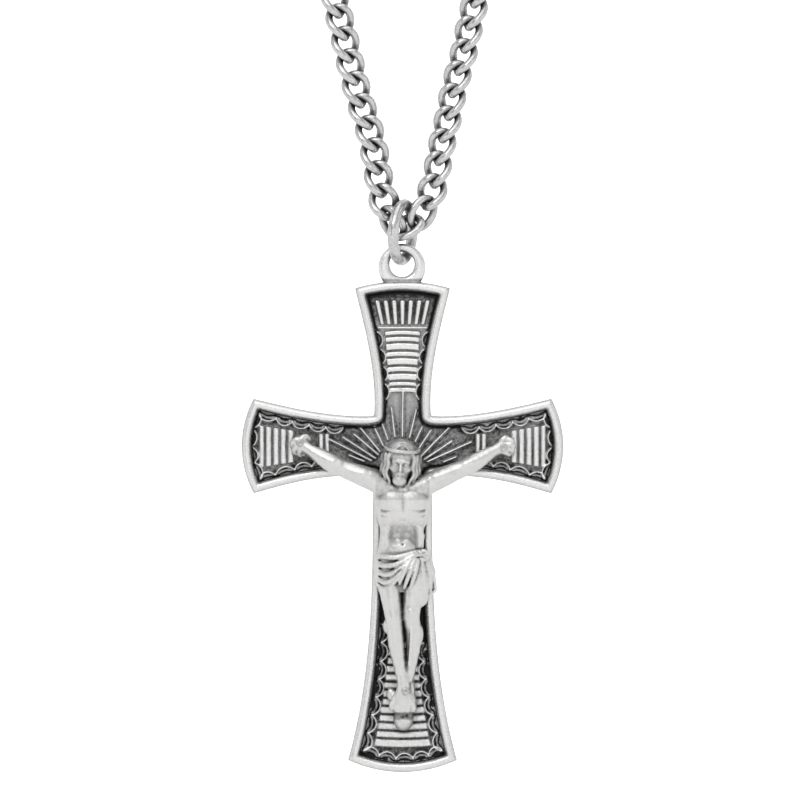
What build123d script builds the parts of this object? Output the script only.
from build123d import *
import math
import os

# Crucifix pendant with a jump ring and a run of curb chain, in millimetres.
# Frame: +X to the viewer's right, +Z up, front of the pendant towards -Y.
# Origin: crossing of the arms, on the flat back of the cross plate.
# The plate is drawn flat in XY, rising along +Z, and stood up afterwards.
# Left and right are the viewer's; a height is measured forward of the plate's back.

# ---- cross plate ----
PLATE_T = 1.90         # back to top of rim
FIELD_T = 1.00         # back to recessed field
RIM_W = 0.95           # width of the raised rim
RIM_ROUND = 0.28       # rounding of the rim's outer edge

# Right side of the outline from the top down, x and y.
# Arc ends alternate with points midway on the arcs.
OUTLINE_RIGHT = [
    (4.6079, 15.2794), (3.3354, 10.0738),
    (2.7474, 3.8078), (2.9884, 3.1716),
    (3.5668, 2.9402), (9.0616, 3.4222),
    (14.4118, 4.6272), (15.5204, 0.0482),
    (14.4118, -4.5308), (9.0616, -3.2294),
    (3.5668, -2.9209), (3.0173, -3.1619),
    (2.7956, -3.7114), (2.9209, -10.4594),
    (3.1619, -17.2074), (3.8560, -23.9554),
    (5.2056, -30.2696),
]
OUTLINE_TOP_Y = 15.9542       # crown of the top arc
OUTLINE_BOTTOM_Y = -31.4264   # lowest point of the bottom arc

# ---- decoration of the field ----
DECOR_H = 0.22         # height of ribs, rays and scallops on the field
DECOR_SINK = 0.02      # overlap of the decoration into the plate
DECOR_GAP = 0.30       # clearance between decoration and rim
RIB_W = 0.40488        # ribs of the upper and side arms
INNER_RIB_W = 0.34704  # short ribs nearer the crossing
LOW_RIB_W = 0.44344    # ribs of the lower arm
RAIL_W = 0.2892        # rails of the fluted panel
FLUTE_W = 0.30848      # upright bars of the fluted panel
RAY_W = 0.23136
SCALLOP_W = 0.18316
SCALLOP_SAG = 0.5302   # bulge of each scallop

# Rays behind the head: outer x, y, inner x, y
RAYS = [
    (0.0482, 5.4466, -0.0193, 1.0122), (-1.0797, 3.7114, -0.7230, 1.0122),
    (-1.9376, 2.1690, -1.3978, 0.8194), (-2.6510, 1.7448, -1.8316, 0.1446),
    (-4.0970, 1.8605, -2.1208, -0.5302), (-4.6754, 1.2050, -2.2847, -0.8194),
    (-5.7551, 0.9158, -2.5546, -1.1664), (-7.0179, 0.6748, -2.9402, -1.3978),
    (1.3303, 3.4800, 0.6555, 0.8194), (1.8991, 1.8991, 1.2050, 0.4338),
    (2.7474, 1.5906, 1.4460, -0.3760), (4.5308, 1.8798, 1.6388, -1.0893),
    (4.7718, 0.5302, 2.0726, -1.2725), (6.6612, 0.4531, 2.3618, -1.4942),
]

# Ends of the scallops, x and y; all but the foot run are repeated on the right
ARM_TOP = [
    (-13.9684, 3.4704), (-12.1368, 2.8052), (-10.6136, 2.5064),
    (-8.9941, 2.1979), (-7.3746, 1.9473), (-5.7454, 1.8412),
]
ARM_END = [
    (-13.9684, 3.4704), (-14.6721, 1.7930), (-14.7299, -0.0868),
    (-14.4696, -1.6099), (-13.8141, -3.3258),
]
ARM_BOTTOM = [
    (-13.8141, -3.3258), (-12.2428, -2.8727), (-10.3630, -2.3136),
    (-8.7435, -2.0148), (-7.1336, -1.8798),
]
LOWER_SIDE = [
    (-2.0726, -18.9137), (-2.1497, -20.7164), (-2.3232, -22.4419), (-2.5835, -24.1578),
    (-3.0077, -25.8834), (-3.3547, -27.6090), (-3.5282, -29.3731),
]
UPPER_SIDE = [
    (-2.7474, 11.1342), (-2.4582, 9.4568), (-2.2365, 7.8180),
    (-2.0533, 6.1696), (-1.9280, 4.3862),
]
FOOT_RUN = [
    (-3.5282, -29.3731), (-2.2847, -29.8840), (-0.6459, -30.2310),
    (1.1182, -30.1443), (2.6703, -29.8840), (4.0488, -29.2863),
]

# ---- eye ----
EYE_BACK = 0.20        # back of the eye, in front of the plate's back
EYE_T = 1.30
EYE_R = 2.29
EYE_HOLE_R = 1.20
EYE_X = -0.05
EYE_HOLE_Y = 17.57     # hole centre
EYE_OUTLINE_Y = 17.28  # slightly lower outline centre
EYE_FRONT_ROUND = 0.40
EYE_BACK_ROUND = 0.12
EYE_HOLE_ROUND = 0.16
NECK_NARROWING = 0.45  # neck width short of the eye's diameter
NECK_STEP = 0.05       # front of the neck below the front of the eye
NECK_HOLE_GAP = 0.3    # radial clearance of the neck round the eye's hole

# ---- pins ----
PIN_R = 0.26
PIN_HEAD_R = 0.40
PIN_HEAD_H = 0.20
PIN_HEAD_ROUND = 0.12
PIN_TIP = 0.55         # height of the pin tips
PIN_FIT = 0.010        # radial fit of the shanks in their holes
PIN_TIP_GAP = 0.02     # clearance beyond the tip
BORE_OVERRUN = 0.50    # bore beyond the underside of the head
HEAD_FIT = 0.02        # radial fit of the heads in the figure
HEAD_BORE_H = 3
# x, z, height of the underside of the head
PINS = {
    "pin_left_hand": (-9.8617, 0.3374, 2.58),
    "pin_right_hand": (9.6978, -0.0868, 2.58),
    "pin_feet": (0.2892, -23.5698, 3.22),
}

# ---- jump ring ----
RING_R = 2.70          # centreline radius
RING_WIRE = 1.06       # wire diameter
RING_AT = (0.034, -0.899, 20.656)
RING_TURN = 70.0       # plane of the ring from face-on, about the vertical, degrees
RING_LEAN = 4.0        # lean out of the vertical, degrees

# ---- chain ----
LINK_A = 1.54          # link centreline, half length
LINK_B = 1.15          # link centreline, half width
LINK_WIRE = 0.76       # wire diameter
LINK_TWIST = 45.0      # twist of a link's end against its middle, degrees
LINK_BUTT = 0.010      # half the gap where the wire ends meet
LINK_SPANS = 10        # arc pairs round a link
LEFT_Y = -0.447
RIGHT_Y = -0.670

# Name, centre x, y, z, travel angle in the XZ plane, roll about it, sense of twist.
# The chain runs down the left side, through the jump ring and up the right side.
LINKS = [
    ("left_01", -6.456, LEFT_Y, 43.100, -78.25, 31.00, -1),
    ("left_02", -5.955, LEFT_Y, 40.928, -75.75, 31.00, -1),
    ("left_03", -5.448, LEFT_Y, 38.756, -78.00, 31.00, -1),
    ("left_04", -4.947, LEFT_Y, 36.584, -76.00, 31.00, -1),
    ("left_05", -4.398, LEFT_Y, 34.423, -75.50, 31.00, -1),
    ("left_06", -3.747, LEFT_Y, 32.293, -70.50, 30.00, -1),
    ("left_07", -3.096, LEFT_Y, 30.163, -75.50, 29.00, -1),
    ("left_08", -2.633, LEFT_Y, 27.985, -80.50, 27.50, -1),
    ("left_09", -2.264, LEFT_Y, 25.785, -80.45, 24.92, -1),
    ("left_10", -1.775, LEFT_Y, 23.614, -74.17, 7.09, -1),
    ("left_11", -0.928, LEFT_Y, 21.574, -60.77, -44.67, 0),
    ("centre", 0.339, -0.850, 21.137, 23.71, 45.70, 0),
    ("right_11", 1.911, RIGHT_Y, 22.500, 61.26, -32.76, 0),
    ("right_10", 2.797, RIGHT_Y, 24.533, 71.61, 19.19, 1),
    ("right_09", 3.348, RIGHT_Y, 26.686, 79.71, 33.74, 1),
    ("right_08", 3.760, RIGHT_Y, 28.877, 79.00, 34.50, 1),
    ("right_07", 4.242, RIGHT_Y, 31.053, 76.00, 35.00, 1),
    ("right_06", 4.710, RIGHT_Y, 33.232, 79.75, 35.00, 1),
    ("right_05", 5.202, RIGHT_Y, 35.404, 74.75, 35.00, 1),
    ("right_04", 5.788, RIGHT_Y, 37.556, 74.75, 35.00, 1),
    ("right_03", 6.294, RIGHT_Y, 39.725, 79.00, 35.00, 1),
    ("right_02", 6.762, RIGHT_Y, 41.905, 76.75, 35.00, 1),
    ("right_01", 7.250, RIGHT_Y, 44.081, 78.00, 35.00, 1),
]


def rise(face, amount):
    """Extrude a flat-drawn face upwards, whichever way its normal points."""
    return extrude(face, amount=amount, dir=(0, 0, 1))


def largest(shape):
    return max(shape.solids(), key=lambda solid: solid.volume)


# ---- cross plate and its decoration ----
def cross_outline():
    def arc(*points):
        return ThreePointArc(*[Vector(*p) for p in points]).edge()

    side = OUTLINE_RIGHT
    right = [arc(*side[i:i + 3]) for i in range(0, len(side) - 1, 2)]
    (top_x, top_y), (low_x, low_y) = side[0], side[-1]
    top = arc((-top_x, top_y), (0, OUTLINE_TOP_Y), (top_x, top_y))
    bottom = arc((low_x, low_y), (0, OUTLINE_BOTTOM_Y), (-low_x, low_y))
    return Face(Wire([top] + right + [bottom] + [edge.mirror(Plane.YZ) for edge in right]))


def inset(face, distance):
    return offset(face, amount=-distance, kind=Kind.INTERSECTION).faces()[0]


def bar(start, end, width):
    """A straight strip from one point to another."""
    a, b = Vector(*start), Vector(*end)
    run = b - a
    middle = (a + b) * 0.5
    angle = math.degrees(math.atan2(run.Y, run.X))
    return Location((middle.X, middle.Y, 0), (0, 0, angle)) * Rectangle(run.length, width)


def level_bar(half, y, width):
    return bar((-half, y), (half, y), width)


def bow(start, end, sag):
    """A scallop: an arc strip between two points, bulging by sag to its left."""
    a, b = Vector(*start), Vector(*end)
    run = b - a
    left = Vector(-run.Y, run.X).normalized()
    middle = (a + b) * 0.5
    half = SCALLOP_W / 2
    outer = ThreePointArc(a + left * half, middle + left * (sag + half), b + left * half)
    inner = ThreePointArc(b - left * half, middle + left * (sag - half), a - left * half)
    return Face(Wire([
        outer.edge(),
        Line(b + left * half, b - left * half).edge(),
        inner.edge(),
        Line(a - left * half, a + left * half).edge(),
    ]))


def scallops(points, sag, side=1):
    """Scallops along a run of points; side -1 mirrors them to the right."""
    return [bow((side * a[0], a[1]), (side * b[0], b[1]), side * sag)
            for a, b in zip(points, points[1:])]


def decor_strips():
    # ribs across the upper arm
    strips = [level_bar(1.687 - 0.069408 * i, 10.8932 - 0.70854 * i, RIB_W) for i in range(8)]
    # fluted panel at the top: seven upright bars between two rails
    strips.append(level_bar(2.892, 14.3636, RAIL_W))
    strips.append(level_bar(2.3136, 11.568, RAIL_W))
    for i in range(7):
        x = -2.3136 + 0.7712 * i
        strips.append(bar((x, 13.9298), (x * 0.82, 12.0018), FLUTE_W))
    # ribs of the side arms
    for side in (-1, 1):
        for i in range(5):
            x = side * (10.9896 + 0.70372 * i)
            half = 1.446 + 0.10604 * i
            strips.append(bar((x, half), (x, -half), RIB_W))
        for i in range(2):
            x = side * (7.3264 + 0.5784 * i)
            strips.append(bar((x, 1.205), (x, -0.5302), INNER_RIB_W))
    # ribs of the lower arm
    for i in range(12):
        strips.append(level_bar(1.4942 + 0.13014 * i, -20.0994 - 0.79048 * i, LOW_RIB_W))
    strips += [bar(ray[:2], ray[2:], RAY_W) for ray in RAYS]
    # scalloped border, bulging away from the rim
    for side in (1, -1):
        strips += scallops(ARM_TOP, -SCALLOP_SAG, side)
        for points in (ARM_END, ARM_BOTTOM, LOWER_SIDE, UPPER_SIDE):
            strips += scallops(points, SCALLOP_SAG, side)
    return strips + scallops(FOOT_RUN, SCALLOP_SAG)


def decorated_plate():
    outline = cross_outline()
    plate = rise(outline, PLATE_T)
    rim_top = plate.faces().sort_by(Axis.Z)[-1]
    plate = fillet(rim_top.outer_wire().edges(), RIM_ROUND)
    field = inset(outline, RIM_W)
    plate = plate - rise(field.moved(Location((0, 0, FIELD_T))), PLATE_T)

    decor = rise(Sketch() + decor_strips(), DECOR_H + DECOR_SINK)
    decor = decor.moved(Location((0, 0, FIELD_T - DECOR_SINK)))
    # trim the strips clear of the rim; the trimming body only has to span their height
    clear = inset(outline, RIM_W + DECOR_GAP)
    decor = decor & rise(clear.moved(Location((0, 0, FIELD_T - 0.05))), 1.0)
    return plate + decor


def eye_cutter(radius):
    return rise(Location((EYE_X, EYE_HOLE_Y, 0)) * Circle(radius), 4)


def eye():
    disc = Location((EYE_X, EYE_OUTLINE_Y, EYE_BACK)) * Circle(EYE_R)
    body = rise(disc, EYE_T).solids()[0]
    body = fillet(body.faces().sort_by(Axis.Z)[-1].edges(), EYE_FRONT_ROUND)
    body = fillet(body.faces().sort_by(Axis.Z)[0].edges(), EYE_BACK_ROUND)
    body = body - eye_cutter(EYE_HOLE_R)
    hole_edges = [edge for edge in body.edges().filter_by(GeomType.CIRCLE)
                  if abs(edge.radius - EYE_HOLE_R) < 1e-3]
    return fillet(hole_edges, EYE_HOLE_ROUND)


def eye_neck():
    """Block that joins the lower half of the eye to the plate."""
    place = Location((EYE_X, EYE_OUTLINE_Y - EYE_R / 2, EYE_BACK))
    block = rise(place * Rectangle(2 * EYE_R - NECK_NARROWING, EYE_R), EYE_T - NECK_STEP)
    return block - eye_cutter(EYE_HOLE_R + NECK_HOLE_GAP)


# ---- figure ----
def spot(x, z, height):
    """Point in the shared frame at a height above the plate's back."""
    return Vector(x, -height, z)


def limb(*stations):
    """Balls joined by slightly slimmer cones; stations are x, z, height, radius."""
    parts = [Pos(*spot(*stations[0][:3])) * Sphere(stations[0][3])]
    for a, b in zip(stations, stations[1:]):
        start, end = spot(*a[:3]), spot(*b[:3])
        run = end - start
        cone = Cone(a[3] * 0.955, b[3] * 0.945, run.length,
                    align=(Align.CENTER, Align.CENTER, Align.MIN))
        parts.append(Plane(origin=start, z_dir=run.normalized()) * cone)
        parts.append(Pos(*end) * Sphere(b[3]))
    return parts


def egg(centre, radii):
    return [Pos(*spot(*centre)) * scale(Sphere(1), by=radii)]


def trunk():
    # x, z, height, radius in X, radius in Y
    sections = [
        (0.0482, -3.5186, 2.35, 1.55, 1.42), (0.0771, -4.4826, 2.35, 2.15, 1.60),
        (0.0771, -5.8322, 2.40, 2.28, 1.72), (0, -7.2782, 2.30, 2.15, 1.62),
        (-0.1446, -8.8206, 2.05, 1.95, 1.33), (-0.2410, -10.2666, 2.15, 2.15, 1.50),
        (-0.2892, -11.9054, 2.35, 2.35, 1.70), (-0.2410, -13.8334, 2.35, 2.30, 1.60),
    ]
    return loft([
        Plane(origin=spot(x, z, height), x_dir=(1, 0, 0), z_dir=(0, 0, -1)) * Ellipse(rx, ry)
        for x, z, height, rx, ry in sections
    ])


def body_pieces():
    # neck, head and hair
    pieces = limb((0, -3.8078, 2.8, 0.78), (-0.0482, -2.6510, 3.3, 0.80))
    pieces += egg((-0.0482, -1.4942, 3.55), (1.35, 1.45, 1.85))
    pieces += egg((-0.0193, -0.9351, 3.20), (1.75, 1.35, 1.72))
    pieces += limb((-1.4460, -1.4942, 3.0, 0.60), (-1.2532, -4.1934, 3.0, 0.42))
    pieces += limb((1.3496, -1.4942, 3.0, 0.60), (1.6870, -4.0006, 3.0, 0.42))
    # arms
    pieces += limb((-1.5906, -4.1934, 2.75, 1.05), (-3.7114, -3.0366, 2.85, 0.95),
                   (-5.5430, -2.3136, 2.85, 0.85), (-7.3746, -1.3978, 2.60, 0.75),
                   (-8.7242, -0.4338, 2.30, 0.60))
    pieces += limb((1.6870, -4.1934, 2.75, 1.05), (3.9042, -3.0366, 2.85, 0.90),
                   (5.6394, -2.2172, 2.85, 0.82), (7.3746, -1.3014, 2.60, 0.74),
                   (8.8206, -0.4338, 2.30, 0.60))
    # hands
    pieces += egg((-9.7846, 0.1928, 1.80), (1.05, 0.86, 0.72))
    pieces += egg((9.8328, 0.0964, 1.80), (1.00, 0.86, 0.75))
    # legs
    pieces += limb((-1.3014, -12.6766, 2.75, 1.05), (-1.0122, -14.7974, 3.05, 0.95),
                   (-0.6748, -16.8218, 3.25, 0.80), (-0.4820, -19.1354, 2.95, 0.72),
                   (-0.0482, -22.3166, 2.75, 0.52))
    pieces += limb((1.0122, -12.6766, 2.75, 1.05), (0.9158, -14.7974, 3.05, 0.95),
                   (0.8676, -16.6290, 3.20, 0.82), (1.0604, -18.6534, 2.80, 0.72),
                   (0.4820, -22.3166, 2.50, 0.52))
    # feet, one laid over the other
    pieces += limb((0.0964, -22.6058, 2.65, 0.60), (0, -24.7266, 2.45, 0.95),
                   (0.0964, -26.7510, 1.85, 0.66))
    pieces += limb((0.5784, -22.9914, 2.15, 0.55), (0.6266, -25.0158, 1.82, 0.88))
    # loincloth: waist roll, fold, then knot and tail
    pieces += limb((-2.1690, -11.5198, 3.0, 0.62), (-0.2410, -12.0018, 3.55, 0.60),
                   (1.7834, -10.5558, 3.1, 0.64))
    pieces += limb((-2.0726, -13.1586, 3.05, 0.62), (-0.0482, -13.5442, 3.45, 0.60),
                   (1.7834, -11.7126, 3.1, 0.60))
    pieces += limb((2.0726, -10.7004, 2.9, 0.66), (2.5546, -12.5802, 2.75, 0.70),
                   (2.4582, -13.8334, 2.65, 0.66))
    return pieces


def seated_figure(cross):
    """Figure with a flat seat on the field, cut to clear rim and decoration."""
    others = [solid for piece in body_pieces() for solid in piece.solids()]
    figure = trunk().solids()[0].fuse(*others)
    figure = figure.solids().sort_by(SortBy.VOLUME)[-1]
    depth = 6.4
    figure = figure & (Pos(0, -depth / 2 - FIELD_T, 0) * Box(60, depth, 80))
    return figure - cross


# ---- pins ----
def peg(x, z, height, radius, length):
    """Cylinder running forward from the given height."""
    cylinder = Cylinder(radius, length, align=(Align.CENTER, Align.CENTER, Align.MIN))
    return Plane(origin=spot(x, z, height), z_dir=(0, -1, 0)) * cylinder


def pin(x, z, head):
    shank = peg(x, z, PIN_TIP, PIN_R, head - PIN_TIP)
    cap = peg(x, z, head, PIN_HEAD_R, PIN_HEAD_H)
    cap = fillet(cap.faces().sort_by(Axis.Y)[0].edges(), PIN_HEAD_ROUND)
    return (shank + cap).solids()[0]


def pin_bore(x, z, head):
    length = head - PIN_TIP + PIN_TIP_GAP + BORE_OVERRUN
    return peg(x, z, PIN_TIP - PIN_TIP_GAP, PIN_R + PIN_FIT, length)


def headed_bore(x, z, head):
    return pin_bore(x, z, head) + peg(x, z, head, PIN_HEAD_R + HEAD_FIT, HEAD_BORE_H)


def cut_for_pins(shape, cutter):
    """Cut one kind of bore for every pin and keep the largest solid left."""
    tools = [solid for place in PINS.values() for solid in cutter(*place).solids()]
    return largest(shape.cut(*tools))


# ---- jump ring and chain ----
def jump_ring():
    turn, lean = math.radians(RING_TURN), math.radians(RING_LEAN)
    across = Vector(math.cos(turn), math.sin(turn), 0)
    normal = Vector(math.sin(turn), -math.cos(turn), 0)
    up = Vector(0, 0, 1) * math.cos(lean) + normal * math.sin(lean)
    plane = Plane(origin=Vector(*RING_AT), x_dir=across, z_dir=across.cross(up))
    return (plane * Torus(RING_R, RING_WIRE / 2)).solids()[0]


def link_point(twist, t):
    """Point of a link's centreline; the loop's plane turns by twist from middle to end."""
    along, across = LINK_A * math.sin(t), LINK_B * math.cos(t)
    turn = math.radians(twist) * along / LINK_A
    return Vector(across * math.cos(turn), across * math.sin(turn), along)


def link_tangent(twist, t, step=1e-5):
    return (link_point(twist, t + step) - link_point(twist, t - step)).normalized()


def arc_pair(start, start_dir, end, end_dir):
    """Two arcs that meet smoothly, leaving and arriving along the given directions."""
    chord, total = end - start, start_dir + end_dir
    c = 2 * (1 - start_dir.dot(end_dir))
    reach = (math.sqrt(chord.dot(total) ** 2 + c * chord.dot(chord)) - chord.dot(total)) / c
    joint = (start + end + (start_dir - end_dir) * reach) * 0.5
    first = TangentArc(start, joint, tangent=start_dir)
    return [first.edge(), TangentArc(joint, end, tangent=first % 1).edge()]


def link_solid(twist):
    """A loop of round wire; its two ends butt at the middle of one side."""
    gap = LINK_BUTT / LINK_A
    stations = [gap + (2 * math.pi - 2 * gap) * i / LINK_SPANS for i in range(LINK_SPANS + 1)]
    arcs = []
    for t0, t1 in zip(stations, stations[1:]):
        arcs += arc_pair(link_point(twist, t0), link_tangent(twist, t0),
                         link_point(twist, t1), link_tangent(twist, t1))
    path = Wire(arcs)
    section = Plane(origin=path @ 0, z_dir=path % 0) * Circle(LINK_WIRE / 2)
    return sweep(section, path=path).solids()[0]


def link_plane(x, y, z, travel, roll):
    t, r = math.radians(travel), math.radians(roll)
    back = Vector(-math.cos(t), 0, -math.sin(t))
    normal = Vector(-math.sin(t), 0, math.cos(t))
    side = normal * math.cos(r) + Vector(0, 1, 0) * math.sin(r)
    return Plane(origin=Vector(x, y, z), x_dir=side, z_dir=back)


# ---- build and export ----
def save(shape, name):
    export_step(shape, f"parts/{name}.step")


os.makedirs("parts", exist_ok=True)

cross = Rot(X=90) * (decorated_plate() + eye() + eye_neck())
figure = seated_figure(cross)
save(cut_for_pins(cross, pin_bore), "cross_body")
save(cut_for_pins(figure, headed_bore), "corpus")
for name, place in PINS.items():
    save(pin(*place), name)

save(jump_ring(), "jump_ring")
link_shapes = {sense: link_solid(sense * LINK_TWIST) for sense in (-1, 0, 1)}
for name, x, y, z, travel, roll, sense in LINKS:
    save(link_plane(x, y, z, travel, roll) * link_shapes[sense], f"chain_link_{name}")
